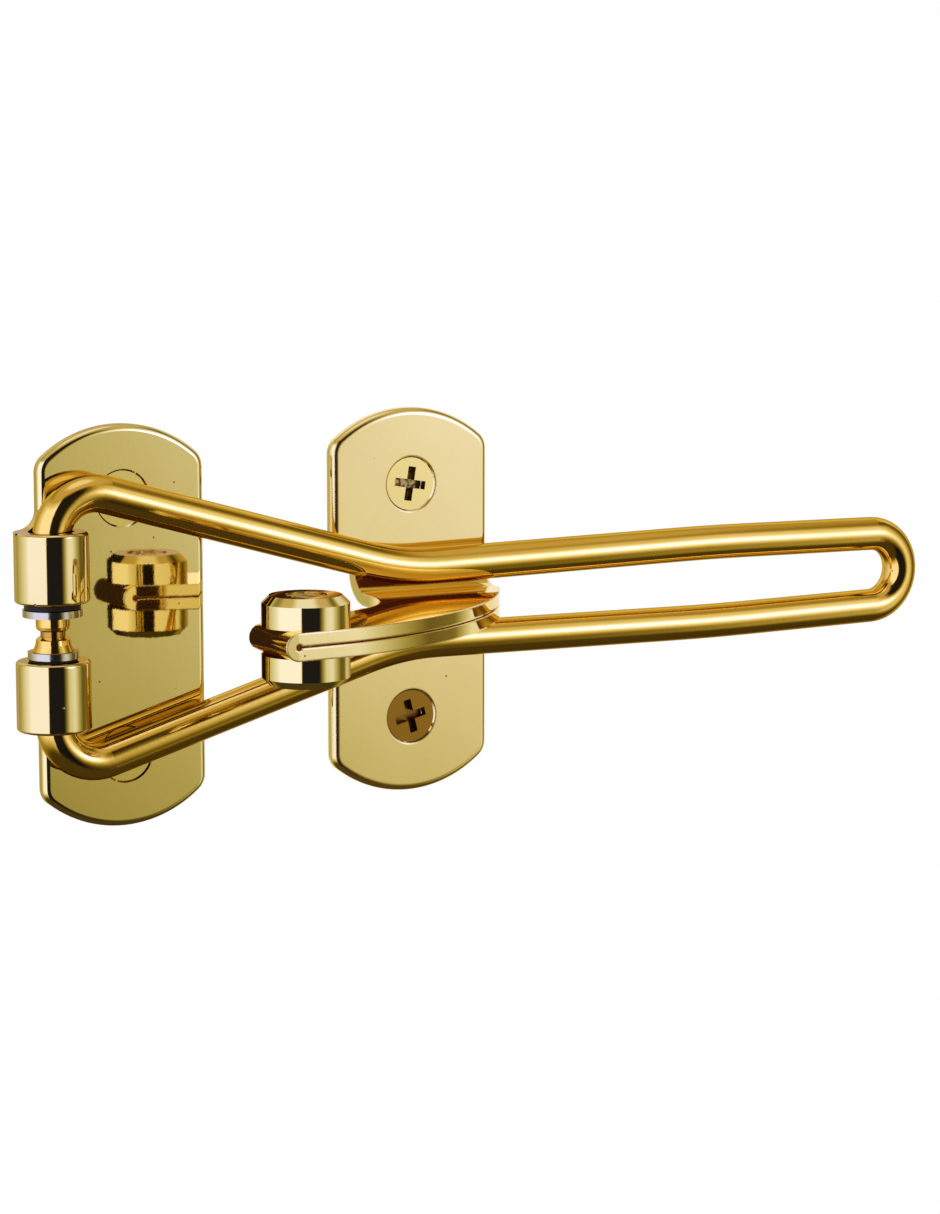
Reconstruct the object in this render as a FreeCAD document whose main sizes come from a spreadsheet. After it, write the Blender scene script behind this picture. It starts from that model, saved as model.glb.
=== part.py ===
import FreeCAD, Part
import math
import os

import Sketcher

V = FreeCAD.Vector
doc = FreeCAD.newDocument("swing_bar_door_guard")

# ---------------------------------------------------------------- driving dimensions (mm, degrees)
# +X runs along the closed arm, +Z is up, -Y is outward from the wall; the plates' backs lie on Y = 0.
# The origin is on the arm plate's back face, on the line of its two screws, at the arm's mid height.
SIZES = {
    "sheet_t": 2.2,             # sheet thickness of both plates
    "plate_w": 30.5,            # width of the arm plate
    "catch_w": 31.7,            # width of the catch plate
    "plate_len": 70.0,          # plate height over the arc ends
    "plate_side": 57.5,         # height of the straight sides, before the corners are rounded
    "plate_corner": 3.6,        # radius where a side meets an arc end
    "plate_drop": 0.85,         # the arm plate's middle is this far below the arm's mid height
    "edge_round": 1.2,          # soft polished rim round each plate's front face
    "rim_round": 0.6,           # ends of the knuckles
    "arm_screw_gap": 44.5,      # screw spacing of the arm plate
    "catch_screw_gap": 42.5,    # screw spacing of the catch plate
    "sink_rad": 5.05,           # countersink radius at the face
    "screw_hole_rad": 2.85,     # countersink radius at the back
    "pivot_x": -14.75,          # arm's pivot axis
    "pivot_y": -6.35,
    "knuckle_rad": 6.35,        # outside of the rolled knuckle, tangent to the plate's back
    "knuckle_bore": 3.9,
    "knuckle_in": 4.9,          # inner and outer ends of each knuckle, from mid height
    "knuckle_out": 16.9,
    "seam_tip": 1.0,            # the rolled end stops this far short of the pivot's middle line
    "seam_lip": 0.2,
    "relief_w": 4.0,            # notch between the knuckles that clears the arm's washers
    "ear_fillet": 3.2,          # hollow corner where the upper knuckle leaves the plate's edge
    "rod_rad": 3.25,
    "rod_start": 15.4,          # the arm's full-size rod starts here, just inside the knuckles
    "bend_rad": 7.6,
    "slope_angle": 15.8,        # slope of the triangular part
    "slope_run": 51.7,
    "knee_rad": 50.0,
    "slot_angle": 0.8,          # the slot widens by this much from the knee to its middle
    "slot_run": 51.2,
    "waist_rad": 600.0,
    "close_angle": 0.7,         # and closes again by this much towards the loop
    "close_run": 30.0,
    "spindle_rad": 2.5,
    "head_rad": 2.87,
    "head_in": 0.1,             # the two formed heads, from mid height: the arm rests low in its play
    "head_out": 2.6,
    "low_head_in": 0.85,
    "low_head_out": 3.35,
    "flare_rad": 3.5,
    "dowel_rad": 2.1,
    "dowel_pin_rad": 1.4,
    "dowel_pin_end": 4.0,
    "washer_rad": 5.05,
    "low_washer_rad": 4.3,
    "washer_bore": 2.6,
    "washer_t": 1.2,
    "washer_gap": 0.15,         # play between each washer and the bush flange behind it
    "bush_flange_rad": 4.8,
    "low_flange_rad": 4.1,
    "bush_bore": 2.56,
    "bush_end": 15.1,           # outer end of each bush, from mid height
    "catch_x": 56.0,            # centre line of the catch plate
    "notch_w": 4.3,             # relief beside the bend, cut in from the left edge
    "notch_top": 8.5,
    "bend_in": 4.0,             # inside radius from plate to tongue
    "leaf_gap": 0.3,            # parting gap between the two tongue leaves
    "fold_eye": 0.55,           # the fold's inside is wider than the parting gap
    "front_start": 6.5,         # the tongue's front edge leaves the right side this far out
    "front_rad": 63.0,
    "front_x": 20.0,            # where that curve ends, beside the knob
    "front_out": 42.6,
    "knob_x": 18.5,
    "knob_y": -35.2,
    "knob_rad": 7.4,
    "knob_top": 7.5,
    "knob_chamfer": 1.3,
    "rivet_rad": 3.0,
    "recess_rad": 3.6,
    "recess_deep": 0.6,
    "tip_x": 11.1,              # outside of the hairpin fold
    "tip_front": 43.15,          # distance out of the fold's front and back ends
    "tip_back": 28.9,
    "back_angle": 15.5,         # slant of the tongue's back edge
    "tongue_fillet": 16.0,       # hollow corner from the root into the back edge
    "screw_head_rad": 4.75,
    "screw_shank_rad": 2.4,
    "screw_len": 25.0,
    "screw_tip": 4.0,
    "cross_w": 1.5,
    "cross_len": 6.2,
    "cross_deep": 1.7,
}
sheet = doc.addObject("Spreadsheet::Sheet", "Sizes")
for row, (alias, value) in enumerate(SIZES.items(), start=1):
    sheet.set(f"A{row}", alias)
    sheet.set(f"B{row}", str(value))
    sheet.setAlias(f"B{row}", alias)
doc.recompute()


# ---------------------------------------------------------------- values that carry their expression
class Size:
    """A number together with the spreadsheet expression that gives it."""

    def __init__(self, value, text):
        self.value = float(value)
        self.text = text

    def __add__(self, other):
        other = size(other)
        return Size(self.value + other.value, f"({self.text} + {other.text})")

    def __radd__(self, other):
        return size(other) + self

    def __sub__(self, other):
        other = size(other)
        return Size(self.value - other.value, f"({self.text} - {other.text})")

    def __rsub__(self, other):
        return size(other) - self

    def __mul__(self, other):
        other = size(other)
        return Size(self.value * other.value, f"({self.text} * {other.text})")

    def __rmul__(self, other):
        return size(other) * self

    def __truediv__(self, other):
        other = size(other)
        return Size(self.value / other.value, f"({self.text} / {other.text})")

    def __neg__(self):
        return size(0) - self


def size(number):
    if isinstance(number, Size):
        return number
    return Size(number, f"{number:.6g}" if number >= 0 else f"(0 - {-number:.6g})")


def cell(alias):
    return Size(SIZES[alias], f"Sizes.{alias}")


def sin(angle):
    return Size(math.sin(math.radians(angle.value)), f"sin({angle.text})")


def cos(angle):
    return Size(math.cos(math.radians(angle.value)), f"cos({angle.text})")


def root(number):
    return Size(math.sqrt(number.value), f"sqrt({number.text})")


# ---------------------------------------------------------------- sketches
def bind(obj, prop, amount):
    obj.setExpression(prop, size(amount).text)


def sketch_on(body, name, plane, lift=None):
    """Sketch on one of the body's own origin planes, lifted along the plane's normal."""
    sk = body.newObject("Sketcher::SketchObject", name)
    flat = [f for f in body.Origin.OriginFeatures if f.Role == plane][0]
    sk.AttachmentSupport = [(flat, "")]
    sk.MapMode = "FlatFace"
    if lift is not None:
        bind(sk, "AttachmentOffset.Base.z", lift)
    return sk


def pin(sk, geo, end, point, label):
    """Fix one end of a curve to sheet-driven coordinates."""
    for axis, amount in zip(("DistanceX", "DistanceY"), point):
        amount = size(amount)
        name = f"{label}_{axis[-1].lower()}"
        index = sk.addConstraint(Sketcher.Constraint(axis, -1, 1, geo, end, amount.value))
        sk.renameConstraint(index, name)
        bind(sk, f"Constraints.{name}", amount)


def flat_vector(point):
    return V(size(point[0]).value, size(point[1]).value, 0)


def add_line(sk, start, end, label):
    geo = sk.addGeometry(Part.LineSegment(flat_vector(start), flat_vector(end)), False)
    pin(sk, geo, 1, start, label + "_start")
    pin(sk, geo, 2, end, label + "_end")


def add_arc(sk, centre, start, end, radius, label, turn=1):
    """Arc from start to end, anticlockwise when turn is 1 and clockwise when it is -1."""
    if turn < 0:
        start, end = end, start
    mid = flat_vector(centre)
    from_dir = flat_vector(start) - mid
    to_dir = flat_vector(end) - mid
    first = math.atan2(from_dir.y, from_dir.x)
    last = math.atan2(to_dir.y, to_dir.x)
    if last <= first:
        last += 2 * math.pi
    circle = Part.Circle(mid, V(0, 0, 1), size(radius).value)
    geo = sk.addGeometry(Part.ArcOfCircle(circle, first, last), False)
    pin(sk, geo, 1, start, label + "_start")
    pin(sk, geo, 2, end, label + "_end")
    index = sk.addConstraint(Sketcher.Constraint("Radius", geo, size(radius).value))
    sk.renameConstraint(index, label + "_radius")
    bind(sk, f"Constraints.{label}_radius", radius)


def add_circle(sk, centre, radius, label):
    geo = sk.addGeometry(Part.Circle(flat_vector(centre), V(0, 0, 1), size(radius).value), False)
    pin(sk, geo, 3, centre, label + "_centre")
    index = sk.addConstraint(Sketcher.Constraint("Radius", geo, size(radius).value))
    sk.renameConstraint(index, label + "_radius")
    bind(sk, f"Constraints.{label}_radius", radius)


def add_loop(sk, points, label="edge"):
    """Closed polygon."""
    for i, point in enumerate(points):
        add_line(sk, point, points[(i + 1) % len(points)], f"{label}{i}")


def pad(body, sk, length, name, both=False, cut=False, flip=False):
    feature = body.newObject("PartDesign::Pocket" if cut else "PartDesign::Pad", name)
    feature.Profile = sk
    feature.Type = "Length"
    bind(feature, "Length", length)
    feature.Midplane = both
    feature.Reversed = flip
    return feature


def pocket(body, sk, length, name, both=False, flip=False):
    """Cut that must take material away."""
    doc.recompute()
    before = body.Shape.Volume
    feature = pad(body, sk, length, name, both=both, cut=True, flip=flip)
    doc.recompute()
    if body.Shape.Volume > before - 1e-3:
        raise ValueError(f"{name} cuts nothing")
    return feature


def turned(name, profile, where=(0, 0, 0)):
    """Round piece: a closed (radius, height) profile turned about the vertical line at where."""
    body = doc.addObject("PartDesign::Body", name)
    sk = sketch_on(body, name + "_profile", "XZ_Plane")
    add_loop(sk, profile)
    turn = body.newObject("PartDesign::Revolution", name + "_turn")
    turn.Profile = sk
    turn.ReferenceAxis = (sk, ["V_Axis"])
    turn.Angle = 360
    for axis, amount in zip("xyz", where):
        bind(body, f"Placement.Base.{axis}", amount)
    return body


def round_edges(body, base, edges, radius, name):
    """Fillet, bound to the sheet."""
    feature = body.newObject("PartDesign::Fillet", name)
    feature.Base = (base, edges)
    bind(feature, "Radius", radius)
    doc.recompute()
    return feature


def edges_where(shape, test):
    return [f"Edge{i}" for i, edge in enumerate(shape.Edges, start=1) if test(edge)]


def middle(edge):
    return edge.valueAt((edge.FirstParameter + edge.LastParameter) / 2)


# ---------------------------------------------------------------- plate outline shared by both plates
sheet_t = cell("sheet_t")
corner = cell("plate_corner")


class Outline:
    """Straight sides, rounded corners and arc ends of a plate of the given width, about its middle."""

    def __init__(self, width):
        self.half_w = width / 2
        rise = (cell("plate_len") - cell("plate_side")) / 2
        self.end_rad = (self.half_w * self.half_w + rise * rise) / (2 * rise)
        self.end_mid = cell("plate_len") / 2 - self.end_rad
        inner = self.end_rad - corner
        self.corner_x = self.half_w - corner
        self.corner_z = self.end_mid + root(inner * inner - self.corner_x * self.corner_x)
        self.blend_x = self.corner_x * self.end_rad / inner
        self.blend_z = self.end_mid + (self.corner_z - self.end_mid) * self.end_rad / inner

    def draw_end(self, sk, x, z, sign, word):
        """Arc end with its two corners: the upper end for sign 1, the lower one for -1."""
        corner_at = z + sign * self.corner_z
        blend_at = z + sign * self.blend_z
        side = (x + sign * self.half_w, corner_at)
        first = (x + sign * self.blend_x, blend_at)
        second = (x - sign * self.blend_x, blend_at)
        other = (x - sign * self.half_w, corner_at)
        add_arc(sk, (x + sign * self.corner_x, corner_at), side, first, corner, word + "_a")
        add_arc(sk, (x, z + sign * self.end_mid), first, second, self.end_rad, word + "_arc")
        add_arc(sk, (x - sign * self.corner_x, corner_at), second, other, corner, word + "_b")

    def draw(self, sk, x, z):
        self.draw_end(sk, x, z, 1, "top")
        self.draw_end(sk, x, z, -1, "bottom")
        left = x - self.half_w
        right = x + self.half_w
        add_line(sk, (left, z + self.corner_z), (left, z - self.corner_z), "left")
        add_line(sk, (right, z - self.corner_z), (right, z + self.corner_z), "right")


def sink_screw(body, x, z, name):
    """Countersunk hole, open at both faces."""
    cone = body.newObject("PartDesign::SubtractiveCone", name)
    bind(cone, "Radius1", cell("screw_hole_rad"))
    bind(cone, "Radius2", cell("sink_rad"))
    bind(cone, "Height", sheet_t)
    cone.Placement = FreeCAD.Placement(V(0, 0, 0), FreeCAD.Rotation(V(1, 0, 0), 90))
    bind(cone, "Placement.Base.x", x)
    bind(cone, "Placement.Base.z", z)


def near(amount, target, slack=0.02):
    return abs(amount - target) < slack


# ---------------------------------------------------------------- arm plate with its rolled knuckles
pivot_x = cell("pivot_x")
pivot_y = cell("pivot_y")
knuckle_rad = cell("knuckle_rad")
knuckle_bore = cell("knuckle_bore")
knuckle_in = cell("knuckle_in")
knuckle_out = cell("knuckle_out")
knuckle_len = knuckle_out - knuckle_in
half_w = cell("plate_w") / 2
drop = cell("plate_drop")
on_axis = (pivot_x, pivot_y)

arm_plate = doc.addObject("PartDesign::Body", "arm_plate")
face = sketch_on(arm_plate, "arm_plate_outline", "XZ_Plane")
Outline(cell("plate_w")).draw(face, size(0), -drop)
pad(arm_plate, face, sheet_t, "arm_plate_sheet")
relief_x = cell("relief_w") - half_w
relief = sketch_on(arm_plate, "washer_relief_outline", "XZ_Plane")
relief_box = [
    (-half_w, -knuckle_in),
    (relief_x, -knuckle_in),
    (relief_x, knuckle_in),
    (-half_w, knuckle_in),
]
add_loop(relief, relief_box)
pocket(arm_plate, relief, sheet_t, "washer_relief", flip=True)

# Knuckles: the plate's left edge is rolled forward round the pivot until its end meets the plate's face.
BASES = (("upper", knuckle_in), ("lower", -knuckle_out))
for word, base in BASES:
    roll = sketch_on(arm_plate, word + "_knuckle_outline", "XY_Plane", lift=base)
    add_circle(roll, on_axis, knuckle_rad, "roll")
    pad(arm_plate, roll, knuckle_len, word + "_knuckle")
bore_back = pivot_y + knuckle_bore
seam_tip = cell("seam_tip")
seam_lip = cell("seam_lip")
for word, base in BASES:
    bore = sketch_on(arm_plate, word + "_bore_outline", "XY_Plane", lift=base)
    add_circle(bore, on_axis, knuckle_bore, "bore")
    pocket(arm_plate, bore, knuckle_len, word + "_bore", flip=True)
    seam = sketch_on(arm_plate, word + "_seam_outline", "XY_Plane", lift=base)
    seam_box = [
        (pivot_x, bore_back - seam_lip),
        (pivot_x + seam_tip, bore_back - seam_lip),
        (pivot_x + seam_tip, bore_back),
        (pivot_x + knuckle_rad, bore_back),
        (pivot_x + knuckle_rad, -sheet_t),
        (pivot_x, -sheet_t),
    ]
    add_loop(seam, seam_box)
    pocket(arm_plate, seam, knuckle_len, word + "_seam", flip=True)
sink_screw(arm_plate, size(0), cell("arm_screw_gap") / 2 - drop, "arm_sink_upper")
sink_screw(arm_plate, size(0), -cell("arm_screw_gap") / 2 - drop, "arm_sink_lower")
doc.recompute()


def front_rim(edge):
    """Outline edges of the plate's front face, away from the knuckles and the screws."""
    at = middle(edge)
    level = at.z + SIZES["plate_drop"]
    on_face = near(at.y, -SIZES["sheet_t"]) and near(edge.BoundBox.YLength, 0)
    ends = abs(level) > SIZES["plate_side"] / 2
    right = at.x > SIZES["plate_w"] / 2 - 0.05
    clear = abs(at.z) > SIZES["knuckle_out"] + 1
    left = near(at.x, -SIZES["plate_w"] / 2) and near(edge.BoundBox.XLength, 0) and clear
    return on_face and (ends or right or left)


arm_rim_edges = edges_where(arm_plate.Shape, front_rim)
round_edges(arm_plate, arm_plate.Tip, arm_rim_edges, cell("edge_round"), "arm_rim")


def knuckle_end(edge):
    """Outer rims at the four ends of the knuckles."""
    at = middle(edge)
    ends = near(abs(at.z), SIZES["knuckle_in"]) or near(abs(at.z), SIZES["knuckle_out"])
    curve = edge.Curve.TypeId == "Part::GeomCircle" and near(edge.Curve.Radius, SIZES["knuckle_rad"])
    in_front = at.y < -SIZES["sheet_t"]
    return ends and curve and in_front and near(edge.BoundBox.ZLength, 0)


knuckle_edges = edges_where(arm_plate.Shape, knuckle_end)
round_edges(arm_plate, arm_plate.Tip, knuckle_edges, cell("rim_round"), "knuckle_rim")

# Hollow corner above the upper knuckle, on the rolled sheet.
fillet = cell("ear_fillet")
web_low = knuckle_out - cell("rim_round")
web = sketch_on(arm_plate, "upper_root_outline", "XY_Plane", lift=web_low)
web_back = (pivot_x, pivot_y + knuckle_rad)
web_left = (pivot_x - knuckle_rad, pivot_y)
inner_left = (pivot_x - knuckle_bore, pivot_y)
inner_back = (pivot_x, bore_back)
add_arc(web, on_axis, web_back, web_left, knuckle_rad, "outside")
add_line(web, web_left, inner_left, "tip")
add_arc(web, on_axis, inner_left, inner_back, knuckle_bore, "inside", -1)
root_x = cell("edge_round") + 0.3 - half_w
add_line(web, inner_back, (pivot_x, -sheet_t), "lip")
add_line(web, (pivot_x, -sheet_t), (root_x, -sheet_t), "face")
add_line(web, (root_x, -sheet_t), (root_x, 0), "root")
add_line(web, (root_x, 0), web_back, "back")
pad(arm_plate, web, fillet + cell("rim_round"), "upper_root")
root_z = knuckle_out + fillet
root_cut = sketch_on(arm_plate, "upper_root_hollow", "XZ_Plane")
root_mid = (-half_w - fillet, root_z)
shoulder = (-half_w - fillet, knuckle_out)
rim_end = (-half_w, root_z)
far_x = -half_w - 10
add_arc(root_cut, root_mid, shoulder, rim_end, fillet, "arc")
add_line(root_cut, rim_end, (-half_w, root_z + 1), "edge")
add_line(root_cut, (-half_w, root_z + 1), (far_x, root_z + 1), "over")
add_line(root_cut, (far_x, root_z + 1), (far_x, knuckle_out), "left")
add_line(root_cut, (far_x, knuckle_out), shoulder, "shoulder")
pocket(arm_plate, root_cut, 4 * knuckle_rad, "upper_root_cut", both=True)
web_over = sketch_on(arm_plate, "upper_root_inside", "XY_Plane", lift=knuckle_out)
over_box = [
    (-half_w, bore_back - seam_lip),
    (pivot_x, bore_back - seam_lip),
    (pivot_x, -sheet_t),
    (-half_w, -sheet_t),
]
add_loop(web_over, over_box)
pocket(arm_plate, web_over, fillet, "upper_root_trim", flip=True)

# ---------------------------------------------------------------- bent rod arm
rod_rad = cell("rod_rad")
rod_start = cell("rod_start")
bend_rad = cell("bend_rad")
knee_rad = cell("knee_rad")
waist_rad = cell("waist_rad")
down = cell("slope_angle")
opening = cell("slot_angle")
closing = cell("close_angle")


def move(point, run, along):
    """The point a run away; along is the (x, z) direction."""
    return (point[0] + run * along[0], point[1] + run * along[1])


# Upper half of the centre line, from the pivot: bend, slope, knee, slot, waist, slot and half the loop.
start = (size(0), rod_start)
bend_mid = (bend_rad, rod_start)
bend_end = move(bend_mid, bend_rad, (sin(down), cos(down)))
knee_start = move(bend_end, cell("slope_run"), (cos(down), -sin(down)))
knee_mid = move(knee_start, knee_rad, (sin(down), cos(down)))
knee_end = move(knee_mid, knee_rad, (sin(opening), -cos(opening)))
waist_start = move(knee_end, cell("slot_run"), (cos(opening), sin(opening)))
waist_mid = move(waist_start, waist_rad, (sin(opening), -cos(opening)))
waist_end = move(waist_mid, waist_rad, (sin(closing), cos(closing)))
loop_start = move(waist_end, cell("close_run"), (cos(closing), -sin(closing)))
loop_rad = loop_start[1] / cos(closing)
loop_x = loop_start[0] - loop_rad * sin(closing)

u_arm = doc.addObject("PartDesign::Body", "u_arm")
path = sketch_on(u_arm, "arm_centre_line", "XZ_Plane")


def under(point):
    """Mirror image below mid height."""
    return (point[0], -size(point[1]))


add_arc(path, bend_mid, start, bend_end, bend_rad, "bend_up", -1)
add_line(path, bend_end, knee_start, "slope_up")
add_arc(path, knee_mid, knee_start, knee_end, knee_rad, "knee_up")
add_line(path, knee_end, waist_start, "slot_up")
add_arc(path, waist_mid, waist_start, waist_end, waist_rad, "waist_up", -1)
add_line(path, waist_end, loop_start, "close_up")
add_arc(path, (loop_x, 0), loop_start, under(loop_start), loop_rad, "loop", -1)
add_line(path, under(loop_start), under(waist_end), "close_low")
add_arc(path, under(waist_mid), under(waist_end), under(waist_start), waist_rad, "waist_low", -1)
add_line(path, under(waist_start), under(knee_end), "slot_low")
add_arc(path, under(knee_mid), under(knee_end), under(knee_start), knee_rad, "knee_low")
add_line(path, under(knee_start), under(bend_end), "slope_low")
add_arc(path, under(bend_mid), under(bend_end), under(start), bend_rad, "bend_low", -1)
ring = sketch_on(u_arm, "rod_section", "XY_Plane", lift=rod_start)
add_circle(ring, (0, 0), rod_rad, "rod")
sweep = u_arm.newObject("PartDesign::AdditivePipe", "arm_rod")
sweep.Profile = ring
sweep.Spine = (path, [f"Edge{i + 1}" for i in range(path.GeometryCount)])

# Thinner spindle ends run in the knuckles and are formed into heads behind the washers.
spindle_rad = cell("spindle_rad")
head_rad = cell("head_rad")
head_in = cell("head_in")
head_out = cell("head_out")
dowel_rad = cell("dowel_rad")
neck_low = -cell("low_head_in")
low_head_out = cell("low_head_out")
upper_end = [
    (0, head_in),
    (head_rad - 0.6, head_in),
    (head_rad - 0.15, head_in + 0.3),
    (head_rad, head_in + 0.8),
    (head_rad, head_out),
    (spindle_rad, head_out),
    (spindle_rad, rod_start),
    (0, rod_start),
]
lower_end = [
    (0, neck_low),
    (head_rad - 0.6, neck_low),
    (head_rad, neck_low - 0.5),
    (head_rad + 0.1, neck_low - 1.3),
    (cell("flare_rad"), -low_head_out),
    (spindle_rad, -low_head_out),
    (spindle_rad, -rod_start),
    (0, -rod_start),
]
for word, profile in (("upper", upper_end), ("lower", lower_end)):
    sk = sketch_on(u_arm, word + "_spindle_profile", "XZ_Plane")
    add_loop(sk, profile)
    spin = u_arm.newObject("PartDesign::Revolution", word + "_spindle")
    spin.Profile = sk
    spin.ReferenceAxis = (sk, ["V_Axis"])
    spin.Angle = 360
pin_hole = sketch_on(u_arm, "dowel_hole_outline", "XY_Plane")
add_circle(pin_hole, (0, 0), cell("dowel_pin_rad"), "dowel_hole")
pocket(u_arm, pin_hole, 2 * cell("dowel_pin_end"), "dowel_hole", both=True)
bind(u_arm, "Placement.Base.x", pivot_x)
bind(u_arm, "Placement.Base.y", pivot_y)

# ---------------------------------------------------------------- round pieces on the pivot
on_pivot = (pivot_x, pivot_y, 0)
dowel = [
    (0, -cell("dowel_pin_end")),
    (cell("dowel_pin_rad"), -cell("dowel_pin_end")),
    (cell("dowel_pin_rad"), neck_low),
    (dowel_rad, neck_low),
    (dowel_rad, head_in),
    (cell("dowel_pin_rad"), head_in),
    (cell("dowel_pin_rad"), cell("dowel_pin_end")),
    (0, cell("dowel_pin_end")),
]
turned("centre_dowel", dowel, on_pivot)

bush_bore = cell("bush_bore")
ENDS = (
    ("upper", 1, head_out, cell("washer_rad"), cell("bush_flange_rad")),
    ("lower", -1, low_head_out, cell("low_washer_rad"), cell("low_flange_rad")),
)
for word, sign, washer_in, washer_rad, flange_rad in ENDS:
    washer_out = washer_in + cell("washer_t")
    washer = [
        (cell("washer_bore"), sign * washer_in),
        (washer_rad, sign * washer_in),
        (washer_rad, sign * washer_out),
        (cell("washer_bore"), sign * washer_out),
    ]
    turned(word + "_washer", washer, on_pivot)
    flange_in = washer_out + cell("washer_gap")
    bush = [
        (bush_bore, sign * flange_in),
        (flange_rad, sign * flange_in),
        (flange_rad, sign * knuckle_in),
        (knuckle_bore, sign * knuckle_in),
        (knuckle_bore, sign * cell("bush_end")),
        (bush_bore, sign * cell("bush_end")),
    ]
    turned(word + "_bush", bush, on_pivot)

# ---------------------------------------------------------------- folded catch strip, upper half first
catch_x = cell("catch_x")
catch_line = Outline(cell("catch_w"))
left_x = catch_x - catch_line.half_w
right_x = catch_x + catch_line.half_w
notch_x = left_x + cell("notch_w")
notch_top = cell("notch_top")
leaf_low = cell("leaf_gap") / 2
leaf_top = leaf_low + sheet_t
bend_in = cell("bend_in")
bend_out = bend_in + sheet_t
bend_z = leaf_top + bend_in
fold_x = cell("tip_x") + leaf_top

catch_half = doc.addObject("PartDesign::Body", "catch_half")
upper = sketch_on(catch_half, "upper_plate_outline", "XZ_Plane")
add_line(upper, (right_x, bend_z), (right_x, catch_line.corner_z), "right")
catch_line.draw_end(upper, catch_x, size(0), 1, "top")
add_line(upper, (left_x, catch_line.corner_z), (left_x, notch_top), "left")
add_line(upper, (left_x, notch_top), (notch_x, notch_top), "notch_roof")
add_line(upper, (notch_x, notch_top), (notch_x, bend_z), "notch_side")
add_line(upper, (notch_x, bend_z), (right_x, bend_z), "bend_line")
pad(catch_half, upper, sheet_t, "upper_plate")

bend = sketch_on(catch_half, "bend_section", "YZ_Plane", lift=notch_x)
bend_mid = (-bend_out, bend_z)
add_line(bend, (-sheet_t, bend_z), (size(0), bend_z), "plate_side")
add_arc(bend, bend_mid, (size(0), bend_z), (-bend_out, leaf_low), bend_out, "outside", -1)
add_line(bend, (-bend_out, leaf_low), (-bend_out, leaf_top), "leaf_side")
add_arc(bend, bend_mid, (-bend_out, leaf_top), (-sheet_t, bend_z), bend_in, "inside")
pad(catch_half, bend, right_x - notch_x, "bend")

# Tongue leaf: long convex front edge, straight back edge and a hollow corner at the bend.
leaf = sketch_on(catch_half, "leaf_outline", "XY_Plane", lift=leaf_low)
front_rad = cell("front_rad")
front_a = (right_x, -cell("front_start"))
front_b = (cell("front_x"), -cell("front_out"))
span_x = front_a[0] - front_b[0]
span_y = front_a[1] - front_b[1]
span = root(span_x * span_x + span_y * span_y)
inset = root(front_rad * front_rad - span * span / 4)
front_mid = (
    (front_a[0] + front_b[0]) / 2 - inset * span_y / span,
    (front_a[1] + front_b[1]) / 2 + inset * span_x / span,
)
back_angle = cell("back_angle")
hollow = cell("tongue_fillet")
hollow_x = notch_x - hollow
back_rise = (hollow_x - fold_x) * sin(back_angle) / cos(back_angle)
hollow_y = -cell("tip_back") + back_rise + hollow / cos(back_angle)
hollow_a = (hollow_x + hollow * sin(back_angle), hollow_y - hollow * cos(back_angle))
add_line(leaf, (right_x, -bend_out), front_a, "side")
add_arc(leaf, front_mid, front_a, front_b, front_rad, "front", -1)
add_line(leaf, front_b, (fold_x, -cell("tip_front")), "front_tip")
add_line(leaf, (fold_x, -cell("tip_front")), (fold_x, -cell("tip_back")), "fold")
add_line(leaf, (fold_x, -cell("tip_back")), hollow_a, "back")
add_arc(leaf, (hollow_x, hollow_y), hollow_a, (notch_x, hollow_y), hollow, "hollow")
add_line(leaf, (notch_x, hollow_y), (notch_x, -bend_out), "root")
add_line(leaf, (notch_x, -bend_out), (right_x, -bend_out), "bend")
pad(catch_half, leaf, sheet_t, "leaf")

# Upper half of the hairpin that joins the two leaves at the tongue's tip.
hairpin = sketch_on(catch_half, "hairpin_section", "XZ_Plane", lift=cell("tip_back"))
fold_mid = (fold_x, size(0))
add_line(hairpin, (fold_x - leaf_low, 0), (fold_x - leaf_top, 0), "seam")
add_arc(hairpin, fold_mid, (fold_x - leaf_top, 0), (fold_x, leaf_top), leaf_top, "outside", -1)
add_line(hairpin, (fold_x, leaf_top), (fold_x, leaf_low), "leaf_side")
add_arc(hairpin, fold_mid, (fold_x, leaf_low), (fold_x - leaf_low, 0), leaf_low, "inside")
pad(catch_half, hairpin, cell("tip_front") - cell("tip_back"), "hairpin")
eye = sketch_on(catch_half, "fold_eye_outline", "XZ_Plane")
add_circle(eye, (fold_x, 0), cell("fold_eye"), "eye")
pocket(catch_half, eye, 2 * cell("tip_front"), "fold_eye", both=True)

knob_x = cell("knob_x")
knob_y = cell("knob_y")
rivet_rad = cell("rivet_rad")
hole = sketch_on(catch_half, "rivet_hole_outline", "XY_Plane")
add_circle(hole, (knob_x, knob_y), rivet_rad, "rivet_hole")
pocket(catch_half, hole, 2 * leaf_top, "rivet_hole", both=True)
sink_screw(catch_half, catch_x, cell("catch_screw_gap") / 2, "catch_sink")
doc.recompute()


def catch_rim(edge):
    """Front rim of the plate above the notch."""
    at = middle(edge)
    on_face = near(at.y, -SIZES["sheet_t"]) and near(edge.BoundBox.YLength, 0)
    rim = at.z > SIZES["notch_top"] + 2 and edge.Curve.TypeId != "Part::GeomCircle"
    arcs = at.z > SIZES["plate_side"] / 2 - SIZES["plate_corner"] and at.z > SIZES["catch_screw_gap"] / 2 + 6
    return on_face and (rim or arcs)


catch_rim_edges = edges_where(catch_half.Shape, catch_rim)
round_edges(catch_half, catch_half.Tip, catch_rim_edges, cell("edge_round"), "catch_rim")

catch_mirror = doc.addObject("Part::Mirroring", "catch_mirror")
catch_mirror.Source = catch_half
catch_mirror.Base = V(0, 0, 0)
catch_mirror.Normal = V(0, 0, 1)
catch_strip = doc.addObject("Part::Fuse", "catch_strip")
catch_strip.Base = catch_half
catch_strip.Tool = catch_mirror

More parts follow.
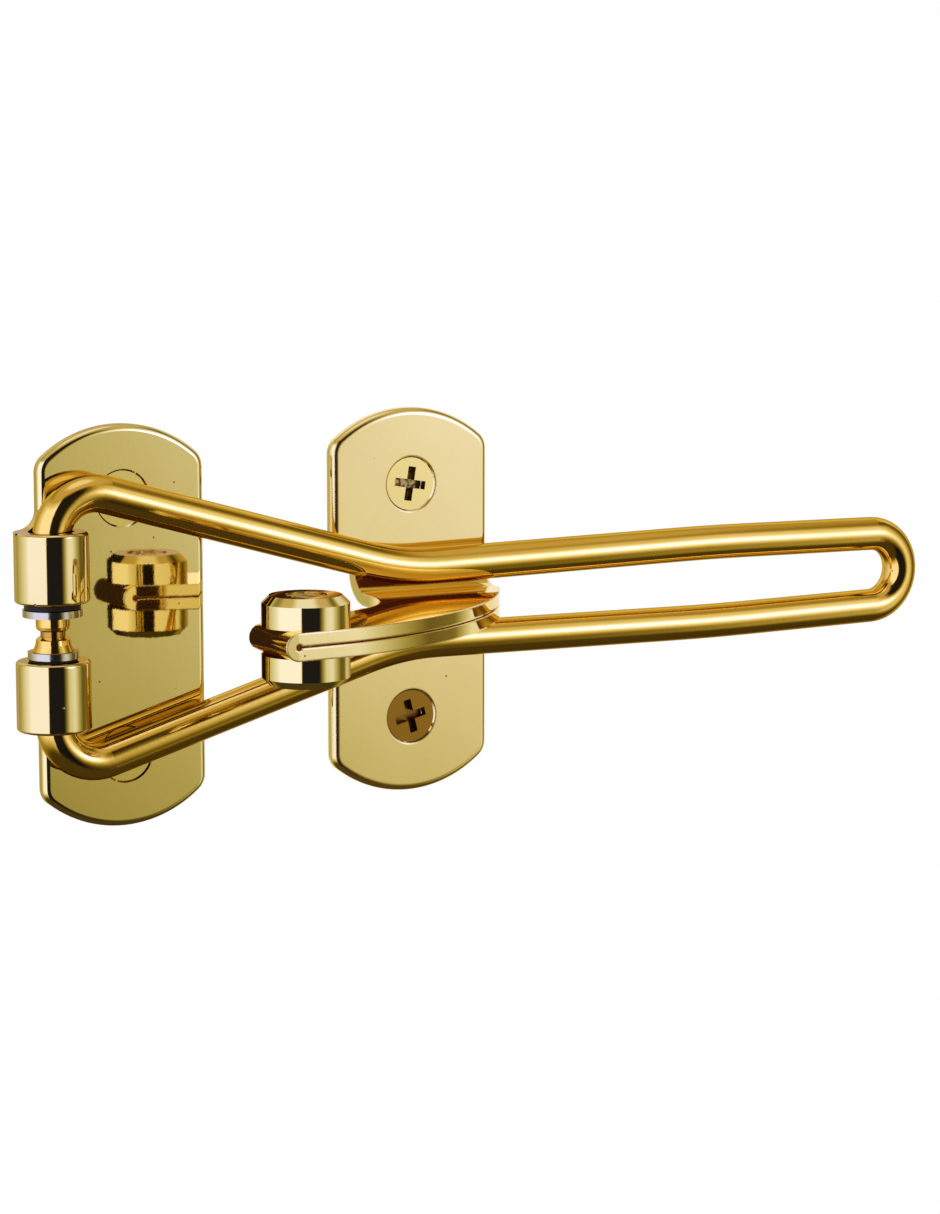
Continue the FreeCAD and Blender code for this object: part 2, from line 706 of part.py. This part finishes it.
# ---------------------------------------------------------------- knob: two collars on one rivet
on_knob = (knob_x, knob_y, 0)
knob_rad = cell("knob_rad")
knob_top = cell("knob_top")
knob_chamfer = cell("knob_chamfer")
recess_rad = cell("recess_rad")
recess_z = knob_top - cell("recess_deep")
for word, sign in (("upper", 1), ("lower", -1)):
    collar = [
        (rivet_rad, sign * leaf_top),
        (knob_rad, sign * leaf_top),
        (knob_rad, sign * (knob_top - knob_chamfer)),
        (knob_rad - knob_chamfer, sign * knob_top),
        (recess_rad, sign * knob_top),
        (recess_rad, sign * recess_z),
        (rivet_rad, sign * recess_z),
    ]
    turned(f"knob_{word}_collar", collar, on_knob)
rivet = [
    (0, -knob_top + 0.05),
    (recess_rad - 1.0, -knob_top + 0.1),
    (recess_rad - 0.1, -recess_z - 0.15),
    (recess_rad - 0.1, -recess_z),
    (rivet_rad, -recess_z),
    (rivet_rad, recess_z),
    (recess_rad - 0.1, recess_z),
    (recess_rad - 0.1, recess_z + 0.15),
    (recess_rad - 1.0, knob_top - 0.1),
    (0, knob_top - 0.05),
]
turned("knob_rivet", rivet, on_knob)

# ---------------------------------------------------------------- countersunk screws, two per plate
OUTWARD = FreeCAD.Rotation(V(1, 0, 0), 90)
INWARD = FreeCAD.Rotation(V(1, 0, 0), -90)
head_face = sheet_t - (cell("sink_rad") - cell("screw_head_rad"))
cone_len = cell("screw_head_rad") - cell("screw_shank_rad")
shank_start = cone_len - head_face


def primitive(kind, name, turn, where, **sizes):
    solid = doc.addObject("Part::" + kind, name)
    solid.Placement = FreeCAD.Placement(V(0, 0, 0), turn)
    for prop, amount in sizes.items():
        bind(solid, prop, amount)
    for axis, amount in zip("xyz", where):
        bind(solid, f"Placement.Base.{axis}", amount)
    return solid


def screw(name, x, z, cross_turn):
    """Countersunk head, plain shank and point, with a cross recess turned by cross_turn degrees."""
    shank_len = cell("screw_len") - cell("screw_tip") - shank_start
    shank_rad = cell("screw_shank_rad")
    parts = [
        primitive("Cone", name + "_head", OUTWARD, (x, shank_start, z),
                  Radius1=shank_rad, Radius2=cell("screw_head_rad"), Height=cone_len),
        primitive("Cylinder", name + "_shank", INWARD, (x, shank_start, z),
                  Radius=shank_rad, Height=shank_len),
        primitive("Cone", name + "_point", INWARD, (x, shank_start + shank_len, z),
                  Radius1=shank_rad, Radius2=size(0.3), Height=cell("screw_tip")),
    ]
    whole = doc.addObject("Part::MultiFuse", name + "_body")
    whole.Shapes = parts
    arms = []
    for index in range(2):
        angle = math.radians(cross_turn + 90 * index)
        spin = FreeCAD.Rotation(V(0, 1, 0), math.degrees(angle))
        corner_off = spin.multVec(V(-SIZES["cross_len"] / 2, 0, -SIZES["cross_w"] / 2))
        arm = primitive("Box", f"{name}_slot{index}", spin, (x + corner_off.x, -head_face, z + corner_off.z),
                        Length=cell("cross_len"), Width=cell("cross_deep"), Height=cell("cross_w"))
        arms.append(arm)
    cross = doc.addObject("Part::MultiFuse", name + "_cross")
    cross.Shapes = arms
    cut = doc.addObject("Part::Cut", name)
    cut.Base = whole
    cut.Tool = cross
    return cut


def screw_pair(name, x, middle_z, gap, turns):
    pair = doc.addObject("Part::Compound", name)
    pair.Links = [
        screw(name + "_upper", x, middle_z + gap / 2, turns[0]),
        screw(name + "_lower", x, middle_z - gap / 2, turns[1]),
    ]


screw_pair("arm_plate_screws", size(0), -drop, cell("arm_screw_gap"), (20, 35))
screw_pair("catch_plate_screws", catch_x, size(0), cell("catch_screw_gap"), (9, -14))

# ---------------------------------------------------------------- check and write
NODES = [
    "arm_plate",
    "u_arm",
    "centre_dowel",
    "upper_washer",
    "lower_washer",
    "upper_bush",
    "lower_bush",
    "arm_plate_screws",
    "catch_strip",
    "knob_upper_collar",
    "knob_lower_collar",
    "knob_rivet",
    "catch_plate_screws",
]
doc.recompute()
for obj in doc.Objects:
    if "Invalid" in obj.State or "Error" in obj.State:
        raise ValueError(f"{obj.Name} failed: {obj.State}")
for node in NODES:
    shape = doc.getObject(node).Shape
    if shape.isNull() or not shape.isValid():
        raise ValueError(f"{node} has no valid shape")
os.makedirs("parts", exist_ok=True)
for node in NODES:
    piece = doc.getObject(node)
    piece.Label = node
    piece.Shape.exportStep(f"parts/{node}.step")
    box = piece.Shape.BoundBox
    solids = len(piece.Shape.Solids)
    low = f"{box.XMin:.1f},{box.YMin:.1f},{box.ZMin:.1f}"
    high = f"{box.XMax:.1f},{box.YMax:.1f},{box.ZMax:.1f}"
    print(f"{node}: {solids} solid(s), {piece.Shape.Volume:.0f} mm3, {low} to {high}")
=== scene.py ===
import math

import bpy
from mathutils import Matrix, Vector

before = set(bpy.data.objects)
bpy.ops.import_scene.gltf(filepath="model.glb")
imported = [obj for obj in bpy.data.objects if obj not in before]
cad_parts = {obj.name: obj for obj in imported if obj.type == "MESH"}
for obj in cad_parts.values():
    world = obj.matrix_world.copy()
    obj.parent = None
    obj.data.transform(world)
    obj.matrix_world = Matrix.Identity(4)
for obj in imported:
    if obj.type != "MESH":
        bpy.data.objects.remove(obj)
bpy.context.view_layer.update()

# ------------------------------------------------------------ detail of the finishes
# Scales are in cells per metre and depths in metres.
HAZE_SCALE = 70.0
HAZE_RANGE = (0.3, 0.7)             # noise values between which one colour turns into the other
GRAIN_SCALE = 900.0
GRAIN_DEPTH = 0.0002
GRAIN_CONTRAST = 0.6
PIT_SCALE = 220.0
PIT_DEPTH = 0.0003
PIT_EDGE = (0.02, 0.045)            # a pit's wall, measured from its middle, in cells
PIT_SHADE = 0.5
DENT_SCALE = 900.0
DENT_DEPTH = 0.0004
DENT_EDGE = (0.1, 0.6)
DENT_SHADE = 0.45
# Painted highlight on sharp edges: where pointiness is high the colour is made brighter and paler.
HIGHLIT_EDGE = (0.52, 0.60)            # pointiness where an edge's painted highlight starts and where it is complete
EDGE_HIGHLIGHT_SHARE = 0.25
HIGHLIGHT_FACTOR = 1.15                  # an edge with the painted highlight is this much brighter, and paler by the next value
HIGHLIGHT_PALER = 0.05
BEVEL_SAMPLES = 6
PLASTIC_SCALE = 2500.0
PLASTIC_TINTS = (0.7, 1.4)
PLASTIC_RANGE = (0.2, 0.8)
PLASTIC_ROUGH = (0.42, 0.58)

# Depth of the screws' cross recess, along Y: it starts at the first value and is all recess from the second.
RECESS_Y = (-0.00186, -0.00165)
PLATE_BACK_Y = (-0.0001, 0.0001)    # the recess's painted shade and dullness end here, so the shanks keep the plain metal
LOWER_Z = (0.002, -0.002)           # from the upper screw's half to the lower screw's half
RECESS_ROUGH = 0.25                 # added to the metal's own roughness
# Painted shade: the dark brown that the cross recess is coloured.
RECESS_PAINTED_SHADE = (0.13, 0.06, 0.012)
# Darker brown that the lower screw's half is coloured, where asked.
LOWER_SCREW_DARK = (0.33, 0.165, 0.02)
# Noise that breaks the recess's painted shade into patches.
RECESS_PATCH_SCALE = 1400.0
RECESS_PATCH_RANGE = (0.40, 0.56)
RECESS_SHADE_COVER = (1.0, 0.45)           # share of the recess's painted shade at each end of that range
DEEP_GLOW_COLOUR = (1.0, 0.26, 0.05)

# Colours come in pairs, the usual one and the one in the deeper patches of the polishing haze.
PLATE = ((0.86, 0.70, 0.285), (0.84, 0.675, 0.26))
ROD = ((0.90, 0.60, 0.14), (0.88, 0.57, 0.115))
DOWEL = ((0.62, 0.36, 0.08), (0.5, 0.27, 0.05))
STEEL = ((0.64, 0.58, 0.40), (0.54, 0.49, 0.33))
SCREW = ((0.87, 0.69, 0.23), (0.85, 0.66, 0.20))
RIVET = ((0.87, 0.66, 0.25), (0.7, 0.5, 0.16))
BUSH = (0.03, 0.018, 0.006)


# ------------------------------------------------------------ node helpers
class Nodes:
    """Small helper for building one node tree."""

    def __init__(self, tree):
        self.tree = tree
        tree.nodes.clear()

    def add(self, kind, **sets):
        node = self.tree.nodes.new(kind)
        for name, value in sets.items():
            setattr(node, name, value)
        return node

    def link(self, source, target):
        self.tree.links.new(source, target)

    def maths(self, operation, first, second=None, third=None):
        node = self.add("ShaderNodeMath", operation=operation)
        for socket, value in zip(node.inputs, (first, second, third)):
            if value is None:
                continue
            if isinstance(value, (int, float)):
                socket.default_value = value
            else:
                self.link(value, socket)
        return node.outputs[0]

    def steps(self, amount, low, high, low_out=0.0, high_out=1.0):
        """Smooth change of value between low and high."""
        node = self.add("ShaderNodeMapRange", interpolation_type="SMOOTHSTEP")
        self.link(amount, node.inputs[0])
        for socket, value in zip(node.inputs[1:5], (low, high, low_out, high_out)):
            socket.default_value = value
        return node.outputs[0]

    def noise(self, vector, scale, detail=2.0, rough=0.5):
        node = self.add("ShaderNodeTexNoise")
        self.link(vector, node.inputs["Vector"])
        node.inputs["Scale"].default_value = scale
        node.inputs["Detail"].default_value = detail
        node.inputs["Roughness"].default_value = rough
        return node.outputs["Fac"]

    def cells(self, vector, scale):
        """Distance from the middle of the nearest of many scattered cells."""
        node = self.add("ShaderNodeTexVoronoi")
        self.link(vector, node.inputs["Vector"])
        node.inputs["Scale"].default_value = scale
        return node.outputs["Distance"]

    def blend(self, mask, first, second):
        """Mix two colours, each a triple or a socket, by a mask."""
        node = self.add("ShaderNodeMix", data_type="RGBA")
        self.link(mask, node.inputs["Factor"])
        for socket, value in ((node.inputs["A"], first), (node.inputs["B"], second)):
            if isinstance(value, tuple):
                socket.default_value = (*value, 1.0)
            else:
                self.link(value, socket)
        return node.outputs["Result"]

    def softened(self, radius):
        """Normal that rolls over within radius of a sharp corner, as on a tumbled or polished edge."""
        node = self.add("ShaderNodeBevel", samples=BEVEL_SAMPLES)
        node.inputs["Radius"].default_value = radius
        return node.outputs[0]

    def bumped(self, height, strength, distance, under=None, invert=False):
        """Normal with this relief, on top of the normal given as under."""
        node = self.add("ShaderNodeBump", invert=invert)
        node.inputs["Strength"].default_value = strength
        node.inputs["Distance"].default_value = distance
        self.link(height, node.inputs["Height"])
        if under is not None:
            self.link(under, node.inputs["Normal"])
        return node.outputs[0]


def new_material(name):
    """Material with an empty node tree, as the material and the helper of its tree."""
    mat = bpy.data.materials.new(name)
    mat.use_nodes = True
    return mat, Nodes(mat.node_tree)


def surface(n, kind):
    """Shader of this kind, joined to the material's output."""
    out = n.add("ShaderNodeOutputMaterial")
    shader = n.add(kind)
    n.link(shader.outputs[0], out.inputs["Surface"])
    return shader


def scaled(colour, factor):
    return tuple(factor * part for part in colour)


# ------------------------------------------------------------ materials
def pitted(n, where, normal, paint, deep, strength):
    """Few small round pits, darker inside."""
    hollow = n.steps(n.cells(where, PIT_SCALE), *PIT_EDGE, 1.0, 0.0)
    normal = n.bumped(hollow, strength, PIT_DEPTH, normal, invert=True)
    return normal, n.blend(hollow, paint, scaled(deep, PIT_SHADE))


def dented(n, where, normal, paint, deep, strength):
    """Close hammer dents, darker in their hollows."""
    hammered = n.cells(where, DENT_SCALE)
    normal = n.bumped(hammered, strength, DENT_DEPTH, normal)
    return normal, n.blend(n.steps(hammered, *DENT_EDGE), scaled(deep, DENT_SHADE), paint)


def recessed(n, where, spread, paint, lower_dark):
    """Cross recess with painted shade and a duller finish, and where asked a darker lower screw."""
    axes = n.add("ShaderNodeSeparateXYZ")
    n.link(where, axes.inputs[0])
    along_y = axes.outputs[1]
    in_plate = n.steps(along_y, *PLATE_BACK_Y, 1.0, 0.0)
    inside = n.maths("MULTIPLY", in_plate, n.steps(along_y, *RECESS_Y))
    # Painted shade inside the cross recess, broken into patches by noise.
    shade_patches = n.noise(where, RECESS_PATCH_SCALE, detail=3.0)
    recess_shade = n.maths("MULTIPLY", inside, n.steps(shade_patches, *RECESS_PATCH_RANGE, *RECESS_SHADE_COVER))
    paint = n.blend(recess_shade, paint, RECESS_PAINTED_SHADE)
    spread = n.maths("ADD", spread, n.maths("MULTIPLY", inside, RECESS_ROUGH))
    if lower_dark:
        # Where asked, the lower screw's half below LOWER_Z is coloured darker brown.
        low = n.maths("MULTIPLY", in_plate, n.steps(axes.outputs[2], *LOWER_Z))
        paint = n.blend(low, paint, LOWER_SCREW_DARK)
    return spread, paint


def metal(
    name, colour, deep, rough=(0.015, 0.05), bump=0.01, pits=0.0, dents=0.0,
    recess=False, lower_dark=False, soft=0.0, deep_glow=0.0, grazing=(0.5, 0.36, 0.17),
):
    """Plated metal: uneven tint, fine grain, a painted highlight on sharp edges, and pits, dents or a recess
    with painted shade if asked.
    """
    mat, n = new_material(name)
    skin = surface(n, "ShaderNodeBsdfPrincipled")
    skin.inputs["Metallic"].default_value = 1.0
    skin.inputs["Specular Tint"].default_value = (*grazing, 1.0)
    if deep_glow:
        # Stands for the light that reaches the folds only after many reflections.
        skin.inputs["Emission Color"].default_value = (*DEEP_GLOW_COLOUR, 1.0)
        skin.inputs["Emission Strength"].default_value = deep_glow
    where = n.add("ShaderNodeTexCoord").outputs["Object"]

    haze = n.noise(where, HAZE_SCALE, detail=3.0)
    grain = n.noise(where, GRAIN_SCALE, detail=3.0, rough=GRAIN_CONTRAST)
    edge = n.add("ShaderNodeNewGeometry").outputs["Pointiness"]
    # Painted highlight: sharp edges, found by pointiness, get a brighter and paler colour.
    bright = tuple(min(1.0, part * HIGHLIGHT_FACTOR + HIGHLIGHT_PALER) for part in colour)
    paint = n.blend(n.steps(haze, *HAZE_RANGE), deep, colour)
    paint = n.blend(n.steps(edge, *HIGHLIT_EDGE, 0.0, EDGE_HIGHLIGHT_SHARE), paint, bright)
    spread = n.maths("MULTIPLY_ADD", grain, rough[1] - rough[0], rough[0])
    normal = n.bumped(grain, bump, GRAIN_DEPTH, n.softened(soft) if soft else None)
    if pits:
        normal, paint = pitted(n, where, normal, paint, deep, pits)
    if dents:
        normal, paint = dented(n, where, normal, paint, deep, dents)
    if recess:
        spread, paint = recessed(n, where, spread, paint, lower_dark)
    n.link(paint, skin.inputs["Base Color"])
    n.link(spread, skin.inputs["Roughness"])
    n.link(normal, skin.inputs["Normal"])
    return mat


def plastic(name, colour):
    """Dull black plastic with a fine grain."""
    mat, n = new_material(name)
    skin = surface(n, "ShaderNodeBsdfPrincipled")
    where = n.add("ShaderNodeTexCoord").outputs["Object"]
    grain = n.noise(where, PLASTIC_SCALE, detail=2.0)
    darker, paler = PLASTIC_TINTS
    n.link(n.blend(grain, scaled(colour, darker), scaled(colour, paler)), skin.inputs["Base Color"])
    n.link(n.steps(grain, *PLASTIC_RANGE, *PLASTIC_ROUGH), skin.inputs["Roughness"])
    skin.inputs["Specular IOR Level"].default_value = 0.2
    return mat


def pale(name):
    """Plain white card."""
    mat, n = new_material(name)
    glow = surface(n, "ShaderNodeEmission")
    glow.inputs["Color"].default_value = (1.0, 1.0, 1.0, 1.0)
    glow.inputs["Strength"].default_value = 1.0
    return mat


LOOKS = {
    "arm_plate": metal("gold_plate_a", *PLATE, pits=0.6),
    "catch_strip": metal(
        "gold_plate_b", *PLATE, pits=0.5, soft=0.00045, deep_glow=0.02, grazing=(1.0, 0.9, 0.6)
    ),
    "u_arm": metal("gold_rod", *ROD, rough=(0.06, 0.11), bump=0.03),
    "centre_dowel": metal("dowel_brass", *DOWEL, rough=(0.12, 0.2)),
    "upper_washer": metal("washer_steel_a", *STEEL, rough=(0.1, 0.22)),
    "lower_washer": metal("washer_steel_b", *STEEL, rough=(0.1, 0.22)),
    "upper_bush": plastic("bush_black_a", BUSH),
    "lower_bush": plastic("bush_black_b", BUSH),
    "arm_plate_screws": metal("screw_gold_a", *SCREW, rough=(0.04, 0.10), recess=True),
    "catch_plate_screws": metal("screw_gold_b", *SCREW, rough=(0.04, 0.10), recess=True, lower_dark=True),
    "knob_upper_collar": metal("knob_gold_a", *PLATE),
    "knob_lower_collar": metal("knob_gold_b", *PLATE),
    "knob_rivet": metal("rivet_gold", *RIVET, rough=(0.1, 0.25), bump=0.1, dents=0.9),
}
for name, mat in LOOKS.items():
    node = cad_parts[name]
    if not node.material_slots:
        node.data.materials.append(mat)
    for slot in node.material_slots:
        slot.material = mat

# ------------------------------------------------------------ studio lights, as levels round the world
# Angles are in degrees: azimuth from straight out of the wall, positive towards +X, and height above level.
DEGREES_PER_RADIAN = 57.29578

# Round the object: a wide white light on its left, a dark gap straight ahead, a narrower light
# on its right, and soft light behind.
AROUND = (
    (-180, 0.9), (-165, 0.75), (-150, 0.45), (-128, 0.68), (-104, 0.94), (-96, 1.1),
    (-37.5, 1.1), (-36, 0.014), (9, 0.014), (13, 0.12), (20, 0.43), (23, 0.60), (29, 0.88), (38, 0.93),
    (46, 0.89), (54, 0.68), (65, 0.40), (77, 0.14), (92, 0.2), (104, 0.85), (172, 0.95),
)
# The right light's near edge is brightest a little above level. The other lights are tall and even.
EDGE_TALL = (
    (-90, 0.06), (-50, 0.05), (-40, 0.08), (-32, 0.14), (-24, 0.26), (-18, 0.46), (-12, 0.74), (-8, 0.97),
    (-4, 1.14), (3, 1.75), (10, 2.2), (17, 1.9), (25, 1.2), (34, 0.75), (45, 0.6), (55, 0.6), (90, 0.6),
)
SIDE_TALL = ((-90, 0.06), (-55, 0.1), (-36, 0.55), (-24, 1.0), (35, 1.1), (50, 0.5), (90, 0.35))
EDGE_BAND = (3, 42, 8)              # azimuths of that near edge, and how softly it ends
# Each is where it starts, where it is complete, and its level.
CEILING = (44, 60, 0.62)
GROUND = (-34, -52, 0.07)
TOP_LIGHT = (68, 78, 0.95)
WARM_FROM = (36, 52)                # the ceiling is warmer, from here up to the top light
GREEN = (1.15, 1.03, 0.9, 0.006)    # power of the level, factor, factor where warm, least value
BLUE = (2.5, 1.45, 1.05, 0.021)
RAMP_UNIT = 2.0                     # the level that a colour of 1 in a ramp stands for

world = bpy.data.worlds.new("studio")
bpy.context.scene.world = world
world.use_nodes = True
w = Nodes(world.node_tree)
world_out = w.add("ShaderNodeOutputWorld")
sky = w.add("ShaderNodeBackground")
w.link(sky.outputs[0], world_out.inputs["Surface"])
direction = w.add("ShaderNodeTexCoord").outputs["Generated"]
split = w.add("ShaderNodeSeparateXYZ")
w.link(direction, split.inputs[0])
dir_x, dir_y, dir_z = split.outputs
outward = w.maths("MULTIPLY", dir_y, -1.0)
azimuth = w.maths("MULTIPLY", w.maths("ARCTAN2", dir_x, outward), DEGREES_PER_RADIAN)
height = w.maths("MULTIPLY", w.maths("ARCSINE", dir_z), DEGREES_PER_RADIAN)


def between(amount, low, high, soft):
    """Mask that is 1 from low to high, with soft ends."""
    rise = w.steps(amount, low - soft, low + soft)
    fall = w.steps(amount, high - soft, high + soft, 1.0, 0.0)
    return w.maths("MULTIPLY", rise, fall)


def layer(base, mask, value):
    """Blend base towards value by mask."""
    keep = w.maths("MULTIPLY", w.maths("SUBTRACT", 1.0, mask), base)
    return w.maths("ADD", keep, w.maths("MULTIPLY", mask, value))


def profile(amount, reach, stops):
    """Level along an angle from -reach to reach degrees, straight between the given (degree, level) stops."""
    place = w.maths("MULTIPLY_ADD", amount, 0.5 / reach, 0.5)
    node = w.add("ShaderNodeValToRGB")
    w.link(place, node.inputs[0])
    points = node.color_ramp.elements
    for index, (degree, level) in enumerate(stops):
        at = 0.5 + 0.5 * degree / reach
        point = points[index] if index < 2 else points.new(at)
        point.position = at
        part = level / RAMP_UNIT
        point.color = (part, part, part, 1.0)
    return w.maths("MULTIPLY", node.outputs["Color"], RAMP_UNIT)


def toned(level, warm, settings):
    """Green or blue of the light, from its level. Its red is the level itself."""
    power, factor, warm_factor, least = settings
    curve = w.maths("MULTIPLY", w.maths("POWER", level, power), layer(factor, warm, warm_factor))
    return w.maths("ADD", curve, least)


tall = layer(profile(height, 90.0, SIDE_TALL), between(azimuth, *EDGE_BAND), profile(height, 90.0, EDGE_TALL))
level = w.maths("MULTIPLY", profile(azimuth, 180.0, AROUND), tall)
for start, complete, own_level in (CEILING, GROUND, TOP_LIGHT):
    level = layer(level, w.steps(height, start, complete), own_level)

# Dim parts of the studio are warmer than its lights.
warm = w.maths("SUBTRACT", w.steps(height, *WARM_FROM), w.steps(height, *TOP_LIGHT[:2]))
tone = w.add("ShaderNodeCombineColor")
for socket, value in zip(tone.inputs, (level, toned(level, warm, GREEN), toned(level, warm, BLUE))):
    w.link(value, socket)
w.link(tone.outputs[0], sky.inputs["Color"])
sky.inputs["Strength"].default_value = 1.0

# ------------------------------------------------------------ pale floor and surround
FLOOR_SIZE = 7.0
FLOOR_Z = -0.30
SURROUND_RADIUS = 5.0
bpy.ops.mesh.primitive_plane_add(size=FLOOR_SIZE, location=(0.0, 0.0, FLOOR_Z))
floor = bpy.context.object
floor.name = "floor"
bpy.ops.mesh.primitive_uv_sphere_add(
    segments=48, ring_count=24, radius=SURROUND_RADIUS, location=(0.0, 0.0, 0.0)
)
surround = bpy.context.object
surround.name = "surround"
for card in (floor, surround):
    card.data.materials.append(pale(card.name + "_white"))
    # The camera sees the cards, and the polished metal reflects the studio lights instead.
    card.visible_glossy = False
    card.visible_diffuse = False
    card.visible_transmission = False
    card.visible_shadow = False

# ------------------------------------------------------------ camera at the photograph's angle
TARGET = Vector((0.06948, 0.0, -0.00236))
DISTANCE = 0.55363
YAW = math.radians(29.34)
PITCH = math.radians(7.96)
ROLL = math.radians(0.05)
SENSOR_WIDTH = 36.0
LENS = 115.1617
back = Vector((-math.sin(YAW) * math.cos(PITCH), -math.cos(YAW) * math.cos(PITCH), math.sin(PITCH)))
right = Vector((math.cos(YAW), -math.sin(YAW), 0.0))
up = back.cross(right)
turned_right = math.cos(ROLL) * right + math.sin(ROLL) * up
turned_up = -math.sin(ROLL) * right + math.cos(ROLL) * up
cam_data = bpy.data.cameras.new("camera")
cam_data.sensor_fit = "HORIZONTAL"
cam_data.sensor_width = SENSOR_WIDTH
cam_data.lens = LENS
cam = bpy.data.objects.new("camera", cam_data)
bpy.context.scene.collection.objects.link(cam)
matrix = cam.matrix_world.copy()
for column, axis in enumerate((turned_right, turned_up, back, TARGET + DISTANCE * back)):
    for row in range(3):
        matrix[row][column] = axis[row]
cam.matrix_world = matrix
bpy.context.scene.camera = cam

bpy.context.scene.view_settings.view_transform = "Standard"
